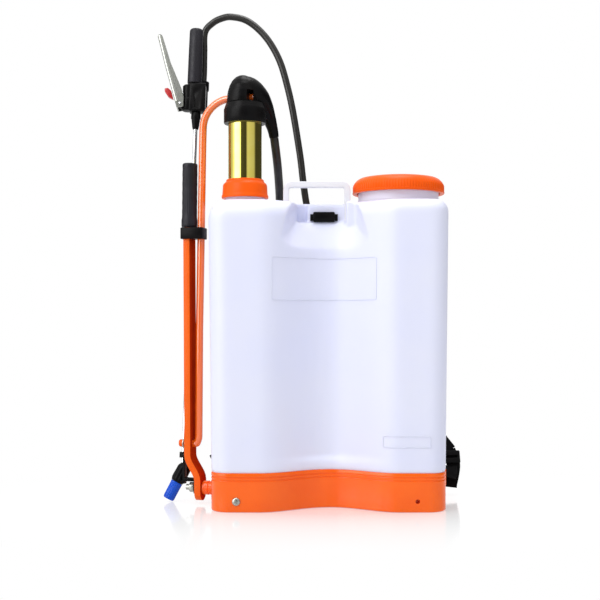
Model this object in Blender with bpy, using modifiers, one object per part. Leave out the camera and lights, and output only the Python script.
"""Backpack sprayer: 16-litre class knapsack tank, lever pump and spray lance.

Frame: +X to the right as the tank is faced, -Y towards the viewer, +Z up, metres.
The origin is the centre of the base's flat underside. The harness is on the +Y side.
"""
import math

import bmesh
import bpy
from mathutils import Matrix, Vector

# ---------------------------------------------------------------- driving dimensions
GAP = 0.0003                    # between touching pieces
CLEARANCE = 0.0006              # round a turning or sliding piece

TANK_HALF_WIDTH_LOW = 0.1610
TANK_HALF_WIDTH_HIGH = 0.1650
TANK_FRONT = -0.0870
TANK_REAR = 0.0920
TANK_FRONT_DISH = 0.0510        # depth of the hollow between the two front pillars
TANK_REAR_DISH = 0.0200
DISH_HALF_WIDTH = 0.0980
TANK_CORNER = 0.0260
SHOULDER_Z = 0.4180
SHOULDER_RADIUS_LEFT = 0.0240
SHOULDER_RADIUS_RIGHT = 0.0130
TANK_WALL = 0.0030
TANK_STEP = 0.0036              # the tank steps in by this where the base hides it

BASE_TOP_Z = 0.0520
BASE_WALL = 0.0030
BASE_FLOOR = 0.0030

PUMP_X = -0.1166
PUMP_Y = -0.0200
LEVER_SKEW = math.radians(14.0)  # the lever's plane is turned this much about Z
CHAMBER_RADIUS = 0.0232
CHAMBER_WALL = 0.0012
CHAMBER_TOP_Z = 0.5450
CHAMBER_BOTTOM_Z = 0.2400
PUMP_NECK_RADIUS = 0.0270
PUMP_NECK_BORE = 0.0248
PUMP_RING_RADIUS = 0.0311
PUMP_RING_BOTTOM_Z = 0.4235
PUMP_RING_TOP_Z = 0.4493
BARREL_OUTER = 0.0245
BARREL_BOTTOM_Z = 0.0900
COLLAR_BOTTOM_Z = 0.5267
COLLAR_TOP_Z = 0.5544
COLLAR_RADIUS = 0.0292
HEAD_PIN_Z = 0.5627

LID_X = 0.0970
LID_RADIUS = 0.0640
LID_BOTTOM_Z = 0.4315
LID_TOP_Z = 0.4535
FILLER_NECK_RADIUS = 0.0560
FILLER_NECK_WALL = 0.0030
FILLER_NECK_TOP_Z = 0.4470

PIVOT_X = -0.0652               # along the lever frame's own X, from the pump axis
PIVOT_Z = 0.0225
CRANK = 0.0612                  # from the lever's pivot up to the link pin
LEVER_THICKNESS = 0.0090
LEVER_WIDTH = 0.0260
LEVER_TOP_Z = 0.4700
LEVER_X_LOW = -0.0798
LEVER_X_MID = -0.0813
LEVER_X_HIGH = -0.0802
LINK_ROD_DIAMETER = 0.0104
GRIP_RADIUS = 0.0107
GRIP_BOTTOM_Z = 0.3680
GRIP_TOP_Z = 0.4750

LANCE_FOOT = Vector((-0.2059, 0.0220, 0.0574))
LANCE_HEAD = Vector((-0.1908, 0.1000, 0.6852))
LANCE_TUBE_DIAMETER = 0.0078
LANCE_GRIP_RADIUS = 0.0130
TRIGGER_PIVOT_X = -0.0227
TRIGGER_PIVOT_Z = 0.5196
TRIGGER_LEAN = math.radians(16.0)
TRIGGER_LENGTH = 0.1090

HOSE_DIAMETER = 0.0100
SLEEVE_DIAMETER = 0.0120
HOSE_GUIDE = Vector((-0.0560, 0.0985, 0.3000))

# ---------------------------------------------------------------- scene and materials
MATERIALS = {}
PALETTE = {
    "tank_plastic": ((0.86, 0.87, 0.94), 0.35, 0.0),
    "orange_plastic": ((0.90, 0.16, 0.01), 0.30, 0.0),
    "orange_paint": ((0.88, 0.15, 0.01), 0.25, 0.0),
    "black_plastic": ((0.015, 0.015, 0.017), 0.45, 0.0),
    "black_rubber": ((0.012, 0.012, 0.013), 0.70, 0.0),
    "hose_rubber": ((0.02, 0.02, 0.018), 0.55, 0.0),
    "brass": ((0.72, 0.56, 0.18), 0.15, 1.0),
    "zinc_steel": ((0.62, 0.63, 0.64), 0.30, 1.0),
    "steel": ((0.70, 0.71, 0.73), 0.20, 1.0),
    "white_plastic": ((0.85, 0.85, 0.87), 0.40, 0.0),
    "blue_plastic": ((0.01, 0.08, 0.60), 0.35, 0.0),
    "red_plastic": ((0.60, 0.02, 0.02), 0.35, 0.0),
    "webbing": ((0.015, 0.015, 0.016), 0.85, 0.0),
}


def clear_scene():
    for old in list(bpy.data.objects):
        bpy.data.objects.remove(old, do_unlink=True)


def new_collection(name):
    made = bpy.data.collections.new(name)
    bpy.context.scene.collection.children.link(made)
    return made


def material(name):
    if name not in MATERIALS:
        color, roughness, metallic = PALETTE[name]
        made = bpy.data.materials.new(name)
        made.use_nodes = True
        shader = made.node_tree.nodes["Principled BSDF"]
        shader.inputs["Base Color"].default_value = (*color, 1.0)
        shader.inputs["Roughness"].default_value = roughness
        shader.inputs["Metallic"].default_value = metallic
        MATERIALS[name] = made
    return MATERIALS[name]


clear_scene()
SPRAYER = new_collection("backpack_sprayer")
CUTTERS = new_collection("cutters")


def frame_empty(name, matrix):
    empty = bpy.data.objects.new(name, None)
    empty.matrix_world = matrix
    SPRAYER.objects.link(empty)
    return empty


def lance_matrix():
    """Local Z runs up the lance, local X stays as level as it can, to the right."""
    up = (LANCE_HEAD - LANCE_FOOT).normalized()
    back = up.cross(Vector((1.0, 0.0, 0.0))).normalized()
    right = back.cross(up).normalized()
    turned = Matrix((right, back, up)).transposed().to_4x4()
    return Matrix.Translation(LANCE_FOOT) @ turned


# local X of the lever frame is the lever's pivot axis; local Y is the way it swings
LEVER_FRAME = frame_empty(
    "lever_frame",
    Matrix.Translation((PUMP_X, PUMP_Y, 0.0)) @ Matrix.Rotation(-LEVER_SKEW, 4, "Z"))
LANCE_FRAME = frame_empty("lance_frame", lance_matrix())


# ---------------------------------------------------------------- modelling helpers
def finish(name, data, finish_name, parent=None, location=(0, 0, 0), rotation=(0, 0, 0)):
    piece = bpy.data.objects.new(name, data)
    SPRAYER.objects.link(piece)
    piece.data.materials.append(material(finish_name))
    piece.parent = parent
    piece.location = location
    piece.rotation_euler = rotation
    return piece


def mesh_from(name, build):
    mesh = bpy.data.meshes.new(name)
    work = bmesh.new()
    build(work)
    bmesh.ops.recalc_face_normals(work, faces=work.faces)
    work.to_mesh(mesh)
    work.free()
    return mesh


def box(name, size, finish_name, parent=None, location=(0, 0, 0), rotation=(0, 0, 0), bevel=0.0):
    def build(work):
        bmesh.ops.create_cube(work, size=1.0)
        bmesh.ops.scale(work, vec=size, verts=work.verts)
        if bevel:
            bmesh.ops.bevel(work, geom=work.edges[:], offset=bevel, segments=2,
                            profile=0.5, affect="EDGES")
    return finish(name, mesh_from(name, build), finish_name, parent, location, rotation)


def rod(name, radius, length, finish_name, parent=None, location=(0, 0, 0),
        rotation=(0, 0, 0), sides=20, top_radius=None, bevel=0.0):
    """A cylinder or cone centred on its location, along local Z."""
    def build(work):
        bmesh.ops.create_cone(work, cap_ends=True, segments=sides, radius1=radius,
                              radius2=radius if top_radius is None else top_radius,
                              depth=length)
        if bevel:
            rims = [edge for edge in work.edges
                    if abs(edge.verts[0].co.z - edge.verts[1].co.z) < length * 0.01]
            bmesh.ops.bevel(work, geom=rims, offset=bevel, segments=2,
                            profile=0.5, affect="EDGES")
    return finish(name, mesh_from(name, build), finish_name, parent, location, rotation)


def turned(name, profile, finish_name, parent=None, location=(0, 0, 0),
           rotation=(0, 0, 0), steps=40, closed=False):
    """A profile of (radius, height) points, outer side top to bottom, spun about Z."""
    mesh = bpy.data.meshes.new(name)
    points = [(radius, 0.0, height) for radius, height in profile]
    edges = [(index, index + 1) for index in range(len(points) - 1)]
    if closed:
        edges.append((len(points) - 1, 0))
    mesh.from_pydata(points, edges, [])
    piece = finish(name, mesh, finish_name, parent, location, rotation)
    screw = piece.modifiers.new("spin", "SCREW")
    screw.angle = 2.0 * math.pi
    screw.steps = steps
    screw.render_steps = steps
    screw.use_merge_vertices = True
    screw.merge_threshold = 0.00002
    return piece


def sleeve(name, outer, inner, bottom, top, finish_name, **placing):
    """A plain hollow ring or tube."""
    profile = [(outer, top), (outer, bottom), (inner, bottom), (inner, top)]
    return turned(name, profile, finish_name, closed=True, **placing)


def plug(name, radius, bottom, top, finish_name, **placing):
    """A solid turned disc or rod standing on local Z."""
    profile = [(0.0, top), (radius, top), (radius, bottom), (0.0, bottom)]
    return turned(name, profile, finish_name, **placing)


def bent_tube(name, points, diameter, finish_name, parent=None, radii=None, resolution=3):
    curve = bpy.data.curves.new(name, "CURVE")
    curve.dimensions = "3D"
    curve.bevel_depth = diameter / 2.0
    curve.bevel_resolution = resolution
    curve.use_fill_caps = True
    curve.render_resolution_u = 0
    spline = curve.splines.new("POLY")
    spline.points.add(len(points) - 1)
    for index, point in enumerate(points):
        spline.points[index].co = (*point, 1.0)
        spline.points[index].radius = 1.0 if radii is None else radii[index]
    return finish(name, curve, finish_name, parent)


def plate(name, outline, thickness, finish_name, parent=None, location=(0, 0, 0),
          rotation=(0, 0, 0)):
    """A flat outline in local XY with its thickness centred on local Z."""
    curve = bpy.data.curves.new(name, "CURVE")
    curve.dimensions = "2D"
    curve.fill_mode = "BOTH"
    curve.extrude = thickness / 2.0
    curve.render_resolution_u = 0
    spline = curve.splines.new("POLY")
    spline.points.add(len(outline) - 1)
    for index, (across, along) in enumerate(outline):
        spline.points[index].co = (across, along, 0.0, 1.0)
    spline.use_cyclic_u = True
    return as_mesh(finish(name, curve, finish_name, parent, location, rotation))


def as_mesh(curve_piece):
    """The welded mesh of a curve piece, so that it can be cut or joined."""
    name = curve_piece.name
    parent = curve_piece.parent
    location = curve_piece.location.copy()
    rotation = curve_piece.rotation_euler.copy()
    finish_name = curve_piece.data.materials[0].name
    graph = bpy.context.evaluated_depsgraph_get()
    mesh = bpy.data.meshes.new_from_object(curve_piece.evaluated_get(graph))
    work = bmesh.new()
    work.from_mesh(mesh)
    bmesh.ops.remove_doubles(work, verts=work.verts, dist=0.00002)
    bmesh.ops.recalc_face_normals(work, faces=work.faces)
    work.to_mesh(mesh)
    work.free()
    mesh.materials.clear()
    bpy.data.objects.remove(curve_piece, do_unlink=True)
    return finish(name, mesh, finish_name, parent, location, rotation)


def combine(target, tool, operation):
    """Cut, join or intersect a piece with a tool, which is then hidden."""
    modifier = target.modifiers.new(tool.name, "BOOLEAN")
    modifier.operation = operation
    modifier.object = tool
    SPRAYER.objects.unlink(tool)
    CUTTERS.objects.link(tool)
    tool.hide_render = True
    tool.display_type = "WIRE"


def cut(target, tool):
    combine(target, tool, "DIFFERENCE")


def join(target, tool):
    combine(target, tool, "UNION")


def smooth_path(route, count):
    """Evenly spaced points on a smooth curve through the route's points."""
    dense = []
    last = len(route) - 1
    for index in range(last):
        before = route[max(index - 1, 0)]
        start, end = route[index], route[index + 1]
        after = route[min(index + 2, last)]
        for step in range(16):
            t = step / 16.0
            dense.append(0.5 * ((2.0 * start) + (end - before) * t
                                + (2.0 * before - 5.0 * start + 4.0 * end - after) * t ** 2
                                + (3.0 * start - before - 3.0 * end + after) * t ** 3))
    dense.append(route[last])
    travelled = [0.0]
    for index in range(1, len(dense)):
        travelled.append(travelled[-1] + (dense[index] - dense[index - 1]).length)
    points = []
    cursor = 0
    for index in range(count):
        wanted = travelled[-1] * index / (count - 1)
        while cursor < len(dense) - 2 and travelled[cursor + 1] < wanted:
            cursor += 1
        span = travelled[cursor + 1] - travelled[cursor]
        share = min(max((wanted - travelled[cursor]) / span, 0.0), 1.0)
        points.append(dense[cursor].lerp(dense[cursor + 1], share))
    return points


# ---------------------------------------------------------------- tank and base
def plan_outline(half_width, inset=0.0):
    """The tank's outline from above, anticlockwise from the front left corner."""
    def front_y(x):
        near = max(0.0, math.cos(math.pi * min(abs(x) / DISH_HALF_WIDTH, 1.0) / 2.0))
        return TANK_FRONT + TANK_FRONT_DISH * near ** 2

    def rear_y(x):
        near = max(0.0, math.cos(math.pi * min(abs(x) / DISH_HALF_WIDTH, 1.0) / 2.0))
        return TANK_REAR - TANK_REAR_DISH * near ** 2

    reach = half_width - TANK_CORNER
    points = []
    for step in range(17):
        x = -reach + 2.0 * reach * step / 16
        points.append(Vector((x, front_y(x))))
    points += corner_arc(reach, TANK_FRONT + TANK_CORNER, -90.0)
    points += corner_arc(reach, TANK_REAR - TANK_CORNER, 0.0)
    for step in range(13):
        x = reach - 2.0 * reach * step / 12
        points.append(Vector((x, rear_y(x))))
    points += corner_arc(-reach, TANK_REAR - TANK_CORNER, 90.0)
    points += corner_arc(-reach, TANK_FRONT + TANK_CORNER, 180.0)
    return offset_inward(points, inset)


def corner_arc(x, y, start, steps=4):
    arc = []
    for step in range(steps + 1):
        angle = math.radians(start + 90.0 * step / steps)
        arc.append(Vector((x + TANK_CORNER * math.cos(angle), y + TANK_CORNER * math.sin(angle))))
    return arc


def offset_inward(points, inset):
    """Moves an anticlockwise outline inward; inset is a number or a function of x."""
    cleaned = [point for index, point in enumerate(points)
               if (point - points[index - 1]).length > 0.0002]
    moved = []
    count = len(cleaned)
    for index, point in enumerate(cleaned):
        along = (cleaned[(index + 1) % count] - cleaned[index - 1]).normalized()
        inward = Vector((-along.y, along.x))
        amount = inset(point.x) if callable(inset) else inset
        moved.append(point + inward * amount)
    return moved


def loft(name, rings, finish_name):
    def build(work):
        layers = [[work.verts.new(point) for point in ring] for ring in rings]
        for lower, upper in zip(layers, layers[1:]):
            for index in range(len(lower)):
                after = (index + 1) % len(lower)
                work.faces.new((lower[index], lower[after], upper[after], upper[index]))
        work.faces.new(list(reversed(layers[0])))
        work.faces.new(layers[-1])
    return finish(name, mesh_from(name, build), finish_name)


def tank_ring(height, inset):
    rise = (height - BASE_TOP_Z) / (SHOULDER_Z - BASE_TOP_Z)
    half_width = TANK_HALF_WIDTH_LOW + (TANK_HALF_WIDTH_HIGH - TANK_HALF_WIDTH_LOW) * max(rise, 0.0)
    return [Vector((point.x, point.y, height)) for point in plan_outline(half_width, inset)]


def shoulder_ring(angle, wall):
    """One ring of the rounded shoulder, which is rounder on the left than on the right."""
    def radius(x):
        share = (x + TANK_HALF_WIDTH_HIGH) / (2.0 * TANK_HALF_WIDTH_HIGH)
        return SHOULDER_RADIUS_LEFT + (SHOULDER_RADIUS_RIGHT - SHOULDER_RADIUS_LEFT) * share

    def inset(x):
        return wall + (radius(x) - wall) * (1.0 - math.cos(angle))

    flat = plan_outline(TANK_HALF_WIDTH_HIGH, inset)
    return [Vector((point.x, point.y,
                    SHOULDER_Z - wall - (radius(point.x) - wall) * (1.0 - math.sin(angle))))
            for point in flat]


def tank_solid(name, wall):
    rings = [tank_ring(BASE_FLOOR + GAP + wall, TANK_STEP + wall),
             tank_ring(BASE_TOP_Z + GAP, TANK_STEP + wall),
             tank_ring(BASE_TOP_Z + 2 * GAP + wall, wall)]
    rings += [shoulder_ring(math.radians(angle), wall) for angle in (0, 30, 60, 90)]
    return loft(name, rings, "tank_plastic")


def recess_tool(name, profile, low_x, high_x):
    """A prism along X whose outline is a list of (y, z) points."""
    middle = (low_x + high_x) / 2.0
    return plate(name, profile, high_x - low_x, "tank_plastic", location=(middle, 0.0, 0.0),
                 rotation=(math.radians(90.0), 0.0, math.radians(90.0)))


FRONT_RECESS = (-0.0640, 0.0380)
REAR_RECESS = (-0.0880, 0.0380)
WALL_Y = -0.0040                # the upright wall behind the carry handle
LEDGE_Z = 0.3905                # the ledge in front of that wall
TOP_CLEAR_Z = 0.4400


def recess_profile(front, wall):
    if front:
        return [(WALL_Y + wall, TOP_CLEAR_Z), (WALL_Y + wall, LEDGE_Z - wall),
                (-0.0220, LEDGE_Z - wall), (-0.0360, 0.3640 - wall), (-0.0600, 0.3540 - wall),
                (-0.1100, 0.3500 - wall),
                (-0.1100, TOP_CLEAR_Z)]
    return [(0.0140 - wall, TOP_CLEAR_Z), (0.0140 - wall, 0.4140 - wall),
            (0.0950, 0.3450 - wall), (0.1100, 0.3450 - wall), (0.1100, TOP_CLEAR_Z)]


def build_tank():
    tank = tank_solid("tank", 0.0)
    hollow = tank_solid("tank_hollow", TANK_WALL)
    for piece, wall in ((tank, 0.0), (hollow, TANK_WALL)):
        cut(piece, recess_tool(piece.name + "_front_recess", recess_profile(True, wall),
                               FRONT_RECESS[0] - wall, FRONT_RECESS[1] + wall))
        cut(piece, recess_tool(piece.name + "_rear_recess", recess_profile(False, wall),
                               REAR_RECESS[0] - wall, REAR_RECESS[1] + wall))
    boss = box("anchor_boss", (0.0500, 0.0160, 0.0260), "tank_plastic",
               location=(-0.0055, WALL_Y - 0.0060, SHOULDER_Z - 0.0145))
    join(tank, boss)
    neck_tool_bottom = SHOULDER_Z - 0.0015
    pump_neck = plug("pump_neck", PUMP_NECK_RADIUS, neck_tool_bottom, PUMP_RING_BOTTOM_Z + 0.012,
                     "tank_plastic", location=(PUMP_X, PUMP_Y, 0.0))
    filler_neck = plug("filler_neck", FILLER_NECK_RADIUS, neck_tool_bottom, FILLER_NECK_TOP_Z,
                       "tank_plastic", location=(LID_X, 0.0, 0.0), steps=56)
    join(tank, pump_neck)
    join(tank, filler_neck)
    cut(tank, hollow)
    bore_bottom = SHOULDER_Z - 0.0100
    cut(tank, plug("pump_bore", PUMP_NECK_BORE, bore_bottom, 0.46, "tank_plastic",
                   location=(PUMP_X, PUMP_Y, 0.0)))
    cut(tank, plug("filler_bore", FILLER_NECK_RADIUS - FILLER_NECK_WALL, bore_bottom, 0.47,
                   "tank_plastic", location=(LID_X, 0.0, 0.0), steps=56))
    return tank


def base_ring(height, inset):
    return [Vector((point.x, point.y, height))
            for point in plan_outline(TANK_HALF_WIDTH_LOW, inset)]


BOSS_RADIUS = 0.0098
BOLT_RADIUS = 0.0040
STUD_INNER_X = -0.0466
STUD_OUTER_X = -0.0855
SCREW_PLACES = {
    "base_screw_front": (-0.1252, TANK_FRONT, 0.0147, 0.0),
    "base_screw_rear_left": (-0.1200, TANK_REAR, 0.0147, 180.0),
    "base_screw_rear_right": (0.1200, TANK_REAR, 0.0147, 180.0),
}


def build_base():
    base = loft("base", [base_ring(0.0, 0.0030), base_ring(0.0030, 0.0),
                         base_ring(BASE_TOP_Z, 0.0)], "orange_plastic")
    boss = rod("pivot_boss", BOSS_RADIUS, 0.0180, "orange_plastic", LEVER_FRAME,
               location=(-0.0513, 0.0, PIVOT_Z), rotation=(0, math.pi / 2, 0), sides=28)
    join(base, boss)
    join(base, box("strap_lug", (0.0120, 0.0180, 0.0240), "orange_plastic",
                   location=(0.1640, 0.0560, 0.0300)))
    cut(base, loft("base_pocket", [base_ring(BASE_FLOOR, BASE_WALL),
                                   base_ring(BASE_TOP_Z + 0.01, BASE_WALL)], "orange_plastic"))
    cut(base, rod("stud_bore", BOLT_RADIUS + GAP, 0.0400, "orange_plastic", LEVER_FRAME,
                  location=(STUD_INNER_X + GAP - 0.0200, 0.0, PIVOT_Z), rotation=(0, math.pi / 2, 0)))
    for name, (x, y, z, _) in SCREW_PLACES.items():
        cut(base, rod(name + "_hole", 0.0026, 0.0200, "orange_plastic", location=(x, y, z),
                      rotation=(math.pi / 2, 0, 0), sides=14))
    cut(base, rod("spare_hole", 0.0030, 0.0200, "orange_plastic", location=(0.1153, TANK_FRONT, 0.0147),
                  rotation=(math.pi / 2, 0, 0), sides=14))
    for name, (x, y, z, turn) in SCREW_PLACES.items():
        turned(name, [(0.0, 0.0030), (0.0032, 0.0027), (0.0053, 0.0012), (0.0054, GAP),
                              (0.0022, GAP), (0.0022, -0.0024), (0.0, -0.0024)],
                       "zinc_steel", location=(x, y, z), steps=18,
                       rotation=(math.pi / 2, 0.0, math.radians(turn)))
    

def build_pump_fixed():
    """The ring, bush, barrel and inlet valve that stay with the tank."""
    place = {"location": (PUMP_X, PUMP_Y, 0.0)}
    turned("pump_ring",
           [(0.0290, PUMP_RING_TOP_Z), (PUMP_RING_RADIUS, PUMP_RING_TOP_Z - 0.0050),
            (PUMP_RING_RADIUS, PUMP_RING_BOTTOM_Z), (PUMP_NECK_RADIUS + CLEARANCE, PUMP_RING_BOTTOM_Z),
            (PUMP_NECK_RADIUS + CLEARANCE, PUMP_RING_TOP_Z - 0.0060),
            (CHAMBER_RADIUS + CLEARANCE, PUMP_RING_TOP_Z - 0.0060),
            (CHAMBER_RADIUS + CLEARANCE, PUMP_RING_TOP_Z)],
           "orange_plastic", closed=True, steps=40, **place)
    neck_top = PUMP_RING_BOTTOM_Z + 0.0120
    turned("pump_barrel",
           [(PUMP_NECK_RADIUS, neck_top + 0.0030), (PUMP_NECK_RADIUS, neck_top + GAP),
            (BARREL_OUTER, neck_top + GAP), (BARREL_OUTER, BARREL_BOTTOM_Z),
            (0.0170, BARREL_BOTTOM_Z - 0.0060), (0.0100, BARREL_BOTTOM_Z - 0.0060),
            (0.0100, BARREL_BOTTOM_Z), (CHAMBER_RADIUS + CLEARANCE, BARREL_BOTTOM_Z + 0.0040),
            (CHAMBER_RADIUS + CLEARANCE, neck_top + 0.0030)],
           "white_plastic", closed=True, steps=28, **place)
    sleeve("wiper_seal", PUMP_NECK_RADIUS, CHAMBER_RADIUS + CLEARANCE, neck_top + 0.0033,
           PUMP_RING_TOP_Z - 0.0063, "black_rubber", steps=28, **place)
    sleeve("inlet_seat", 0.0096, 0.0040, BARREL_BOTTOM_Z - 0.0060, BARREL_BOTTOM_Z - 0.0010,
           "white_plastic", steps=20, **place)

    def build(work):
        bmesh.ops.create_uvsphere(work, u_segments=14, v_segments=8, radius=0.0056)
    finish("inlet_ball", mesh_from("inlet_ball", build), "steel",
           location=(PUMP_X, PUMP_Y, BARREL_BOTTOM_Z + 0.0042))


def build_chamber():
    """The brass pressure chamber that slides, with its piston, collar and head."""
    place = {"location": (PUMP_X, PUMP_Y, 0.0)}
    sleeve("chamber_tube", CHAMBER_RADIUS, CHAMBER_RADIUS - CHAMBER_WALL, CHAMBER_BOTTOM_Z,
           CHAMBER_TOP_Z, "brass", steps=40, **place)
    turned("piston",
           [(0.0205, CHAMBER_BOTTOM_Z - GAP), (0.0228, CHAMBER_BOTTOM_Z - GAP),
            (0.0228, CHAMBER_BOTTOM_Z - 0.0060), (0.0200, CHAMBER_BOTTOM_Z - 0.0060),
            (0.0200, CHAMBER_BOTTOM_Z - 0.0130), (0.0228, CHAMBER_BOTTOM_Z - 0.0130),
            (0.0228, CHAMBER_BOTTOM_Z - 0.0180), (0.0050, CHAMBER_BOTTOM_Z - 0.0180),
            (0.0050, CHAMBER_BOTTOM_Z - GAP)],
           "white_plastic", closed=True, steps=24, **place)
    sleeve("piston_cup", 0.0233, 0.0203, CHAMBER_BOTTOM_Z - 0.0127, CHAMBER_BOTTOM_Z - 0.0063,
           "black_rubber", steps=24, **place)
    turned("head_collar",
           [(0.0265, COLLAR_TOP_Z), (COLLAR_RADIUS, COLLAR_TOP_Z - 0.0080),
            (COLLAR_RADIUS, COLLAR_BOTTOM_Z), (CHAMBER_RADIUS + GAP, COLLAR_BOTTOM_Z),
            (CHAMBER_RADIUS + GAP, CHAMBER_TOP_Z + GAP), (0.0180, CHAMBER_TOP_Z + GAP),
            (0.0180, COLLAR_TOP_Z)],
           "black_plastic", closed=True, steps=40, **place)


HEAD_TRUNK = [(-0.1145, -0.0200, 0.5830), (-0.1060, -0.0180, 0.5800), (-0.0965, -0.0100, 0.5700),
              (-0.0878, 0.0030, 0.5570), (-0.0820, 0.0080, 0.5400), (-0.0783, 0.0110, 0.5240),
              (-0.0770, 0.0130, 0.5130)]
TRUNK_RADII = [1.0, 0.90, 0.70, 0.52, 0.46, 0.43, 0.43]
TRUNK_DIAMETER = 0.0310


def build_head():
    column = turned("chamber_head",
                    [(0.0, 0.5960), (0.0080, 0.5945), (0.0150, 0.5895), (0.0195, 0.5810),
                     (0.0218, 0.5700), (0.0225, 0.5600), (0.0225, COLLAR_TOP_Z + GAP),
                     (0.0, COLLAR_TOP_Z + GAP)],
                    "black_plastic", location=(PUMP_X - 0.0010, PUMP_Y, 0.0), steps=28)
    trunk = as_mesh(bent_tube("head_trunk", [Vector(point) for point in HEAD_TRUNK],
                              TRUNK_DIAMETER, "black_plastic", radii=TRUNK_RADII, resolution=4))
    join(column, trunk)
    cut(column, rod("head_pin_bore", LINK_ROD_DIAMETER / 2 + CLEARANCE, 0.0450, "black_plastic",
                    LEVER_FRAME, location=(-0.0110, 0.0, HEAD_PIN_Z),
                    rotation=(0, math.pi / 2, 0)))
    cut(column, box("head_window", (0.0124, 0.0420, 0.0190), "black_plastic", LEVER_FRAME,
                    location=(0.0100, -0.0110, HEAD_PIN_Z + 0.0010)))
    turn = (0.0, math.pi / 2, 0.0)
    sleeve("head_washer", 0.0080, LINK_ROD_DIAMETER / 2 + CLEARANCE, 0.0043, 0.0058, "zinc_steel",
           parent=LEVER_FRAME, location=(0.0, 0.0, HEAD_PIN_Z), rotation=turn, steps=24)
    return column


# ---------------------------------------------------------------- link rod and lever
def build_link_rod():
    """From the head's hinge down beside the lever, ending flush against its inner face."""
    route = [(0.0140, HEAD_PIN_Z), (-0.0200, HEAD_PIN_Z)]
    for step in range(1, 8):
        angle = math.radians(90.0 * step / 7)
        route.append((-0.0200 - 0.0410 * math.sin(angle), HEAD_PIN_Z - 0.0410 * (1 - math.cos(angle))))
    pin_z = PIVOT_Z + CRANK
    route += [(-0.0617, 0.4930), (-0.0662, 0.2420), (-0.0672, 0.1120), (-0.0673, 0.0980),
              (-0.0677, 0.0910), (-0.0686, 0.0861), (-0.0703, pin_z), (LINK_INNER_X, pin_z)]
    bent_tube("link_rod", [Vector((x, 0.0, z)) for x, z in route], LINK_ROD_DIAMETER,
              "orange_paint", LEVER_FRAME, resolution=3)


LEVER_INNER_X = LEVER_X_LOW + LEVER_THICKNESS / 2.0
LINK_INNER_X = LEVER_INNER_X + 0.0025
LINK_PIN_INNER_X = LINK_INNER_X - 0.0005
BEND_BOTTOM_Z = 0.0330          # the sideways bend in the lever's foot
BEND_TOP_Z = 0.0680
LINK_PIN_LENGTH = 0.0172


def lever_centre():
    """(x, z) points down the middle of the lever's thickness, foot to top."""
    points = [(PIVOT_X, 0.0045), (PIVOT_X, BEND_BOTTOM_Z)]
    for step in range(1, 8):
        share = step / 8.0
        eased = share * share * (3.0 - 2.0 * share)
        points.append((PIVOT_X + (LEVER_X_LOW - PIVOT_X) * eased,
                       BEND_BOTTOM_Z + (BEND_TOP_Z - BEND_BOTTOM_Z) * share))
    points += [(LEVER_X_LOW, BEND_TOP_Z), (LEVER_X_LOW, 0.1100), (LEVER_X_MID, 0.3650),
               (LEVER_X_HIGH, LEVER_TOP_Z)]
    return points


def build_lever():
    centre = lever_centre()
    half = LEVER_THICKNESS / 2.0
    left, right = [], []
    for index, (x, z) in enumerate(centre):
        before = Vector(centre[max(index - 1, 0)])
        after = Vector(centre[min(index + 1, len(centre) - 1)])
        along = (after - before).normalized()
        across = Vector((-along.y, along.x)) * half
        left.append((x + across.x, z + across.y))
        right.append((x - across.x, z - across.y))
    stand = (math.pi / 2, 0.0, 0.0)
    lever = plate("lever_bar", right + list(reversed(left)), 0.0400, "orange_paint",
                  LEVER_FRAME, rotation=stand)
    side = []
    foot_centre = PIVOT_Z - 0.0050
    for step in range(9):
        angle = math.radians(180.0 + 180.0 * step / 8)
        side.append((0.0130 * math.cos(angle), foot_centre + 0.0130 * math.sin(angle)))
    side += [(0.0130, 0.3750), (0.0070, 0.3850), (0.0070, LEVER_TOP_Z - GAP),
             (-0.0070, LEVER_TOP_Z - GAP), (-0.0070, 0.3850), (-0.0130, 0.3750)]
    shape = plate("lever_side", side, 0.0800, "orange_paint", LEVER_FRAME,
                  location=(-0.0750, 0.0, 0.0), rotation=(math.pi / 2, 0.0, math.pi / 2))
    combine(lever, shape, "INTERSECT")
    across = (0.0, math.pi / 2, 0.0)
    cut(lever, rod("lever_pivot_bore", BOLT_RADIUS + CLEARANCE, 0.0400, "orange_paint",
                   LEVER_FRAME, location=(PIVOT_X, 0.0, PIVOT_Z), rotation=across))
    pin_z = PIVOT_Z + CRANK
    cut(lever, rod("lever_pin_bore", LINK_ROD_DIAMETER / 2 + CLEARANCE, 0.0300, "orange_paint",
                   LEVER_FRAME, location=(LEVER_X_LOW, 0.0, pin_z), rotation=across))
    outer_x = LEVER_X_LOW - half
    rod("link_pin", LINK_ROD_DIAMETER / 2, LINK_PIN_LENGTH, "orange_paint", LEVER_FRAME,
        location=(LINK_PIN_INNER_X - LINK_PIN_LENGTH / 2.0, 0.0, pin_z), rotation=across, bevel=0.0008)
    sleeve("pin_washer", 0.0086, LINK_ROD_DIAMETER / 2 + CLEARANCE, GAP, 0.0018, "zinc_steel",
           parent=LEVER_FRAME, location=(outer_x, 0.0, pin_z),
           rotation=(0.0, -math.pi / 2, 0.0), steps=24)
    sleeve("pin_clip", 0.0072, LINK_ROD_DIAMETER / 2 + GAP, 0.0036, 0.0052, "zinc_steel",
           parent=LEVER_FRAME, location=(outer_x, 0.0, pin_z),
           rotation=(0.0, -math.pi / 2, 0.0), steps=20)
    build_lever_grip()


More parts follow.
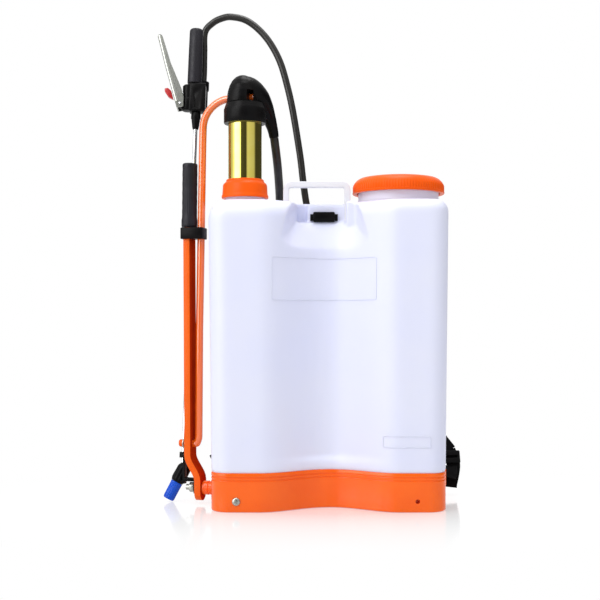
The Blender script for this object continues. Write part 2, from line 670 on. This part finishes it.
def build_lever_grip():
    lean = math.atan2(LEVER_X_HIGH - LEVER_X_MID, LEVER_TOP_Z - 0.3650)
    grip = turned("lever_grip",
                  [(0.0, GRIP_TOP_Z), (0.0080, GRIP_TOP_Z), (GRIP_RADIUS, GRIP_TOP_Z - 0.0030),
                   (GRIP_RADIUS, 0.3990), (0.0112, 0.3970), (0.0112, 0.3890), (GRIP_RADIUS, 0.3853),
                   (0.0, 0.3853)],
                  "black_rubber", LEVER_FRAME, location=(LEVER_X_MID - lean * 0.3650, 0.0, 0.0),
                  rotation=(0.0, lean, 0.0), steps=28)
    cut(grip, box("grip_socket", (LEVER_THICKNESS + 0.0010, 0.0150, 0.1990), "black_rubber",
                  LEVER_FRAME, location=((LEVER_X_MID + LEVER_X_HIGH) / 2.0, 0.0, 0.3712),
                  rotation=(0.0, lean, 0.0)))
    clip_z = 0.3763
    clip = box("rod_clip", (0.0316, 0.0236, 0.0160), "black_plastic", LEVER_FRAME,
               location=(-0.0732, -0.0046, clip_z), bevel=0.0012)
    cut(clip, box("clip_bar_slot", (LEVER_THICKNESS + 0.0014, 0.0600, 0.0400), "black_plastic",
                  LEVER_FRAME, location=(LEVER_X_MID, -0.0136 + 0.0300, clip_z)))
    cut(clip, rod("clip_rod_bore", LINK_ROD_DIAMETER / 2 + GAP, 0.0400, "black_plastic",
                  LEVER_FRAME, location=(LINK_ROD_AT_CLIP_X, 0.0, clip_z)))


LINK_ROD_AT_CLIP_X = -0.0638


def build_pivot():
    """The lever's bolt and nut, and the holder on the bolt that the lance clips into."""
    across = (0.0, math.pi / 2, 0.0)
    outer = PIVOT_X - LEVER_THICKNESS / 2.0
    plug("pivot_stud", BOLT_RADIUS, STUD_OUTER_X, STUD_INNER_X, "zinc_steel",
         parent=LEVER_FRAME, location=(0.0, 0.0, PIVOT_Z), rotation=across, steps=20)
    sleeve("pivot_nut", 0.0072, BOLT_RADIUS + 0.0010, outer - 0.0105, outer - 0.0036, "zinc_steel",
           parent=LEVER_FRAME, location=(0.0, 0.0, PIVOT_Z), rotation=across, steps=6)
    holder = box("lance_holder", (0.0026, 0.0140, 0.0180), "black_plastic", LEVER_FRAME,
                 location=(outer - 0.0018, 0.0, PIVOT_Z + 0.0010), bevel=0.0008)
    join(holder, box("holder_arm", (0.0192, 0.0080, 0.0050), "black_plastic", LEVER_FRAME,
                     location=(outer - 0.0122, 0.0040, 0.0326)))
    join(holder, box("holder_post", (0.0050, 0.0080, 0.0410), "black_plastic", LEVER_FRAME,
                     location=(-0.0905, 0.0040, 0.0470), bevel=0.0006))
    join(holder, box("holder_jaw", (0.0135, 0.0265, 0.0080), "black_plastic", LEVER_FRAME,
                     location=(-0.0948, 0.0132, 0.0650), bevel=0.0008))
    cut(holder, box("holder_slot", (0.0300, LANCE_TUBE_DIAMETER + 0.0020, 0.0300), "black_plastic",
                    LEVER_FRAME, location=(-0.1075, 0.0203, 0.0660)))
    cut(holder, rod("holder_bore", BOLT_RADIUS + GAP, 0.0200, "black_plastic", LEVER_FRAME,
                    location=(outer - 0.0020, 0.0, PIVOT_Z), rotation=across))


# ---------------------------------------------------------------- spray lance
def lance_length():
    return (LANCE_HEAD - LANCE_FOOT).length


def build_lance():
    foot = lance_length()
    rod("lance_tube", LANCE_TUBE_DIAMETER / 2, 0.4910, "steel", LANCE_FRAME,
        location=(0.0, 0.0, 0.2415), sides=18)
    turned("ferrule_nut",
           [(LANCE_TUBE_DIAMETER / 2 + GAP, 0.5087), (0.0095, 0.5087), (0.0100, 0.4960),
            (0.0085, 0.4915), (0.0058, 0.4830), (LANCE_TUBE_DIAMETER / 2 + GAP, 0.4830)],
           "black_plastic", LANCE_FRAME, steps=24, closed=True)
    turned("lance_grip",
           [(0.0, foot + 0.0030), (0.0105, foot + 0.0030), (LANCE_GRIP_RADIUS, foot),
            (LANCE_GRIP_RADIUS - 0.0005, 0.5800), (LANCE_GRIP_RADIUS, 0.5560),
            (0.0118, 0.5523), (0.0, 0.5523)],
           "black_rubber", LANCE_FRAME, steps=28)
    build_valve()
    build_trigger()
    build_nozzle()


VALVE_TOP_Z = 0.5520
VALVE_BOTTOM_Z = 0.5090
CYLINDER_X = -0.0130
INLET = Vector((0.0070, 0.0228, 0.5500))
PLUNGER_Z = 0.5370


def build_valve():
    valve = box("valve_body", (0.0240, 0.0200, VALVE_TOP_Z - VALVE_BOTTOM_Z), "black_plastic",
                LANCE_FRAME, location=(0.0015, 0.0, (VALVE_TOP_Z + VALVE_BOTTOM_Z) / 2),
                bevel=0.0025)
    join(valve, turned("valve_cylinder",
                       [(0.0, 0.5500), (0.0060, 0.5500), (0.0078, 0.5480), (0.0078, 0.5290),
                        (0.0086, 0.5280), (0.0086, 0.5130), (0.0070, 0.5110), (0.0, 0.5110)],
                       "black_plastic", LANCE_FRAME, location=(CYLINDER_X, 0.0, 0.0), steps=24))
    join(valve, rod("inlet_boss", 0.0075, 0.0300, "black_plastic", LANCE_FRAME,
                    location=(INLET.x, INLET.y - 0.0020, INLET.z - 0.0160), sides=20))
    join(valve, box("inlet_bridge", (0.0100, 0.0200, 0.0120), "black_plastic", LANCE_FRAME,
                    location=(0.0050, 0.0130, 0.5260), bevel=0.0010))
    join(valve, box("trigger_ear", (0.0120, 0.0070, 0.0090), "black_plastic", LANCE_FRAME,
                    location=(-0.0205, 0.0, TRIGGER_PIVOT_Z)))
    flat = (math.pi / 2, 0.0, 0.0)
    cut(valve, rod("trigger_bore", 0.0020 + CLEARANCE, 0.0300, "black_plastic", LANCE_FRAME,
                   location=(TRIGGER_PIVOT_X, 0.0, TRIGGER_PIVOT_Z), rotation=flat, sides=14))
    cut(valve, rod("plunger_bore", 0.0025 + CLEARANCE, 0.0240, "black_plastic", LANCE_FRAME,
                   location=(-0.0190, 0.0, PLUNGER_Z), rotation=(0, math.pi / 2, 0), sides=14))
    rod("trigger_pin", 0.0020, 0.0220, "steel", LANCE_FRAME,
        location=(TRIGGER_PIVOT_X, 0.0, TRIGGER_PIVOT_Z), rotation=flat, sides=14)
    rod("valve_plunger", 0.0025, 0.0172, "steel", LANCE_FRAME,
        location=(-0.0235, 0.0, PLUNGER_Z), rotation=(0, math.pi / 2, 0), sides=14, bevel=0.0004)
    sleeve("hose_nut", 0.0088, HOSE_DIAMETER / 2 + CLEARANCE, INLET.z, INLET.z + 0.0130,
           "black_plastic", parent=LANCE_FRAME, location=(INLET.x, INLET.y - 0.0004, 0.0), steps=20)


def trigger_frame():
    """Local Z runs from the pivot up the trigger, local X points to the grip."""
    empty = frame_empty("trigger_frame", Matrix.Identity(4))
    empty.parent = LANCE_FRAME
    empty.location = (TRIGGER_PIVOT_X, 0.0, TRIGGER_PIVOT_Z)
    empty.rotation_euler = (0.0, -TRIGGER_LEAN, 0.0)
    return empty


def build_trigger():
    """A pressed channel that is wide at its pivot and narrow at its tip."""
    holder = trigger_frame()
    stand = (math.pi / 2, 0.0, 0.0)
    side = [(-0.0068, -0.0050), (0.0030, -0.0060), (0.0070, 0.0080), (0.0072, 0.0200),
            (0.0010, 0.0700), (-0.0022, TRIGGER_LENGTH), (-0.0062, TRIGGER_LENGTH),
            (-0.0078, 0.0600)]
    trigger = plate("trigger", side, 0.0220, "zinc_steel", holder, rotation=stand)
    inside = [(-0.0052, -0.0200), (0.0200, -0.0200), (0.0200, 0.1200), (-0.0030, 0.1200),
              (-0.0062, 0.0600)]
    cut(trigger, plate("trigger_inside", inside, 0.0190, "zinc_steel", holder, rotation=stand))
    cut(trigger, rod("trigger_pin_holes", 0.0020 + CLEARANCE, 0.0400, "zinc_steel", holder,
                     rotation=stand, sides=14))
    lock_outline = [(0.0, 0.0), (0.0, 0.0130), (-0.0035, 0.0185), (-0.0085, 0.0190),
                    (-0.0095, 0.0150), (-0.0060, 0.0050)]
    plate("trigger_lock", lock_outline, 0.0080, "red_plastic", holder,
          location=(-0.0085, 0.0, 0.0110), rotation=stand)


NOZZLE_LEAN = math.radians(26.0)
NOZZLE_JOINT = Vector((0.0029, 0.0, -0.0085))


def build_nozzle():
    turn = (0.0, NOZZLE_LEAN, 0.0)
    body = turned("nozzle_body",
                  [(0.0, 0.0035), (0.0070, 0.0020), (0.0098, -0.0020), (0.0104, -0.0180),
                   (0.0090, -0.0245), (0.0, -0.0245)],
                  "black_plastic", LANCE_FRAME, location=NOZZLE_JOINT, rotation=turn, steps=24)
    cut(body, rod("nozzle_socket", LANCE_TUBE_DIAMETER / 2 + GAP, 0.0200, "black_plastic",
                  LANCE_FRAME, location=(0.0, 0.0, 0.0057), sides=18))
    turned("nozzle_tip",
           [(0.0018, -0.0248), (0.0076, -0.0248), (0.0076, -0.0275), (0.0072, -0.0470),
            (0.0064, -0.0498), (0.0018, -0.0498)],
           "blue_plastic", LANCE_FRAME, location=NOZZLE_JOINT, rotation=turn, steps=24,
           closed=True)


# ---------------------------------------------------------------- lid, strainer, handle
def build_filler():
    place = {"location": (LID_X, 0.0, 0.0)}
    turned("filler_lid",
           [(0.0, LID_TOP_Z), (0.0610, LID_TOP_Z), (LID_RADIUS, LID_TOP_Z - 0.0030),
            (LID_RADIUS, LID_BOTTOM_Z), (LID_RADIUS - 0.0060, LID_BOTTOM_Z),
            (LID_RADIUS - 0.0060, LID_TOP_Z - 0.0030), (0.0, LID_TOP_Z - 0.0030)],
           "orange_plastic", steps=56, **place)
    sleeve("lid_seal", 0.0570, 0.0500, LID_TOP_Z - 0.0053, LID_TOP_Z - 0.0033,
           "black_rubber", steps=40, **place)
    turned("filler_strainer",
           [(0.0, 0.3712), (0.0468, 0.3712), (0.0503, FILLER_NECK_TOP_Z + 0.0009),
            (0.0560, FILLER_NECK_TOP_Z + 0.0009), (0.0560, FILLER_NECK_TOP_Z + GAP),
            (0.0515, FILLER_NECK_TOP_Z + GAP), (0.0480, 0.3700), (0.0, 0.3700)],
           "white_plastic", steps=36, **place)


def build_handle():
    low, high = 0.3910, 0.4430
    left, right, bend = -0.0598, 0.0250, 0.0070
    route = [(left, low), (left, high - bend)]
    route += [(left + bend * (1 - math.cos(a)), high - bend * (1 - math.sin(a)))
              for a in (math.radians(30), math.radians(60), math.radians(90))]
    route += [(right - bend * (1 - math.sin(a)), high - bend * (1 - math.cos(a)))
              for a in (0.0, math.radians(30), math.radians(60), math.radians(90))]
    route += [(right, low)]
    outline = []
    half = 0.0040
    for index, point in enumerate(route):
        before = Vector(route[max(index - 1, 0)])
        after = Vector(route[min(index + 1, len(route) - 1)])
        along = (after - before).normalized()
        outline.append((Vector(point) + Vector((-along.y, along.x)) * half,
                        Vector(point) - Vector((-along.y, along.x)) * half))
    ring = [pair[0] for pair in outline] + [pair[1] for pair in reversed(outline)]
    plate("carry_handle", [(point.x, point.y) for point in ring], 0.0130, "white_plastic",
          location=(0.0, WALL_Y - 0.0130, 0.0), rotation=(math.pi / 2, 0.0, 0.0))
    anchor = box("strap_anchor", (0.0300, 0.0080, 0.0140), "black_plastic",
                 location=(-0.0075, ANCHOR_Y, 0.3978), bevel=0.0020)
    join(anchor, box("anchor_tabs", (0.0380, 0.0040, 0.0090), "black_plastic",
                     location=(-0.0075, ANCHOR_Y + 0.0015, 0.3973)))


ANCHOR_Y = WALL_Y - 0.0140 - 0.0043


# ---------------------------------------------------------------- harness
PAD_X = 0.1050
PAD_HALF_THICKNESS = 0.0060


def ribbon_outline(route, half):
    """A closed outline that runs a constant distance either side of a flat route."""
    near, far = [], []
    for index, point in enumerate(route):
        before = route[max(index - 1, 0)]
        after = route[min(index + 1, len(route) - 1)]
        along = (after - before).normalized()
        across = Vector((-along.y, along.x)) * half
        near.append(tuple(point + across))
        far.append(tuple(point - across))
    return near + list(reversed(far))


def build_harness():
    """Two shoulder pads on the rear, each with a hook above and webbing and a buckle below."""
    stand = (math.radians(90.0), 0.0, math.radians(90.0))
    pad_route = smooth_path([Vector((0.1060, 0.3270)), Vector((0.1220, 0.3040)),
                             Vector((0.1380, 0.2500)), Vector((0.1380, 0.1900)),
                             Vector((0.1200, 0.1340))], 14)
    for side, label in ((-1, "left"), (1, "right")):
        plate("strap_pad_" + label, ribbon_outline(pad_route, PAD_HALF_THICKNESS), 0.0460,
              "webbing", location=(side * PAD_X, 0.0, 0.0), rotation=stand)
        box("strap_hook_" + label, (0.0420, 0.0090, 0.0200), "black_plastic",
            location=(side * PAD_X, TANK_REAR + 0.0048, 0.3430), bevel=0.0015)
    lower_ends = {"left": [Vector((-0.1080, 0.1170, 0.1280)), Vector((-0.1200, 0.1110, 0.0800))],
                  "right": [Vector((0.1160, 0.1170, 0.1280)), Vector((0.1780, 0.0960, 0.0660))]}
    returns = {"left": [Vector((-0.1240, 0.1080, 0.0500)), Vector((-0.1280, 0.1040, 0.0290))],
               "right": [Vector((0.1790, 0.0880, 0.0420)), Vector((0.1745, 0.0700, 0.0270))]}
    buckles = {"left": Vector((-0.1220, 0.1095, 0.0650)), "right": Vector((0.1800, 0.0920, 0.0540))}
    for label in ("left", "right"):
        strip("webbing_upper_" + label, lower_ends[label][0], lower_ends[label][1])
        strip("webbing_lower_" + label, returns[label][0], returns[label][1])
        lean = returns[label][0] - lower_ends[label][1]
        turn = lean.to_track_quat("Z", "Y").to_euler()
        buckle = box("strap_buckle_" + label, (0.0320, 0.0080, 0.0190), "black_plastic",
                     location=buckles[label], rotation=turn, bevel=0.0015)
        cut(buckle, box("buckle_window_" + label, (0.0240, 0.0300, 0.0040), "black_plastic",
                        location=buckles[label], rotation=turn))


def strip(name, start, end):
    """A straight run of 24 mm webbing."""
    along = end - start
    box(name, (0.0240, 0.0018, along.length), "webbing", location=(start + end) / 2.0,
        rotation=along.to_track_quat("Z", "Y").to_euler())


# ---------------------------------------------------------------- hoses
def lance_point(x, y, z):
    return lance_matrix() @ Vector((x, y, z))


def build_hoses():
    trunk_end = Vector(HEAD_TRUNK[-1])
    leaving = (trunk_end - Vector(HEAD_TRUNK[-2])).normalized()
    upper = [trunk_end + leaving * 0.0012,
             trunk_end + leaving * 0.0060,
             Vector((-0.0745, 0.0210, 0.4930)), Vector((-0.0726, 0.0330, 0.4760)),
             Vector((-0.0713, 0.0490, 0.4580)), Vector((-0.0704, 0.0650, 0.4410)),
             Vector((-0.0700, 0.0790, 0.4250)), Vector((-0.0680, 0.0930, 0.4000)),
             Vector((-0.0630, 0.1000, 0.3700)), Vector((-0.0568, 0.0988, 0.3350)),
             Vector((-0.0560, 0.0985, 0.3170)),
             HOSE_GUIDE + Vector((0.0, 0.0, GAP))]
    bent_tube("hose_to_guide", smooth_path(upper, 18), SLEEVE_DIAMETER, "hose_rubber",
              resolution=2)
    lower = [HOSE_GUIDE - Vector((0.0, 0.0, GAP)), Vector((-0.0560, 0.0985, 0.2600)),
             Vector((-0.0560, 0.0980, 0.2000)), Vector((-0.0540, 0.0970, 0.1500)),
             Vector((-0.0440, 0.0960, 0.1130)), Vector((-0.0200, 0.0955, 0.0940)),
             Vector((0.0060, 0.0955, 0.1010)), Vector((0.0230, 0.0965, 0.1320)),
             Vector((0.0280, 0.0970, 0.1800)), Vector((0.0240, 0.0970, 0.2400)),
             Vector((0.0140, 0.0975, 0.3000)), Vector((0.0000, 0.0980, 0.3500)),
             Vector((-0.0140, 0.0960, 0.3850)), Vector((-0.0245, 0.0890, 0.4100)),
             Vector((-0.0310, 0.0800, 0.4270)), Vector((-0.0362, 0.0820, 0.4628)),
             Vector((-0.0406, 0.0860, 0.5001)), Vector((-0.0510, 0.0920, 0.5647)),
             Vector((-0.0599, 0.0960, 0.6055)), Vector((-0.0703, 0.1000, 0.6406)),
             Vector((-0.0853, 0.1040, 0.6698)), Vector((-0.1034, 0.1080, 0.6918)),
             Vector((-0.1229, 0.1110, 0.7060)), Vector((-0.1441, 0.1140, 0.7113)),
             Vector((-0.1577, 0.1160, 0.7097)), Vector((-0.1714, 0.1180, 0.7034)),
             lance_point(0.0085, 0.0195, 0.6400), lance_point(0.0080, 0.0205, 0.6100),
             lance_point(0.0072, 0.0222, 0.5800), lance_point(INLET.x, INLET.y - 0.0004, 0.5660),
             lance_point(INLET.x, INLET.y - 0.0004, INLET.z + GAP)]
    bent_tube("hose_to_lance", smooth_path(lower, 62), HOSE_DIAMETER, "hose_rubber",
              resolution=2)
    guide = box("hose_guide", (0.0240, 0.0180, 0.0280), "black_plastic",
                location=(HOSE_GUIDE.x, HOSE_GUIDE.y, HOSE_GUIDE.z), bevel=0.0015)
    cut(guide, rod("guide_bore", SLEEVE_DIAMETER / 2 + CLEARANCE, 0.0500, "black_plastic",
                   location=HOSE_GUIDE))


build_tank()
build_base()
build_pump_fixed()
build_chamber()
build_head()
build_link_rod()
build_lever()
build_pivot()
build_lance()
build_filler()
build_handle()
build_harness()
build_hoses()
bpy.context.view_layer.update()
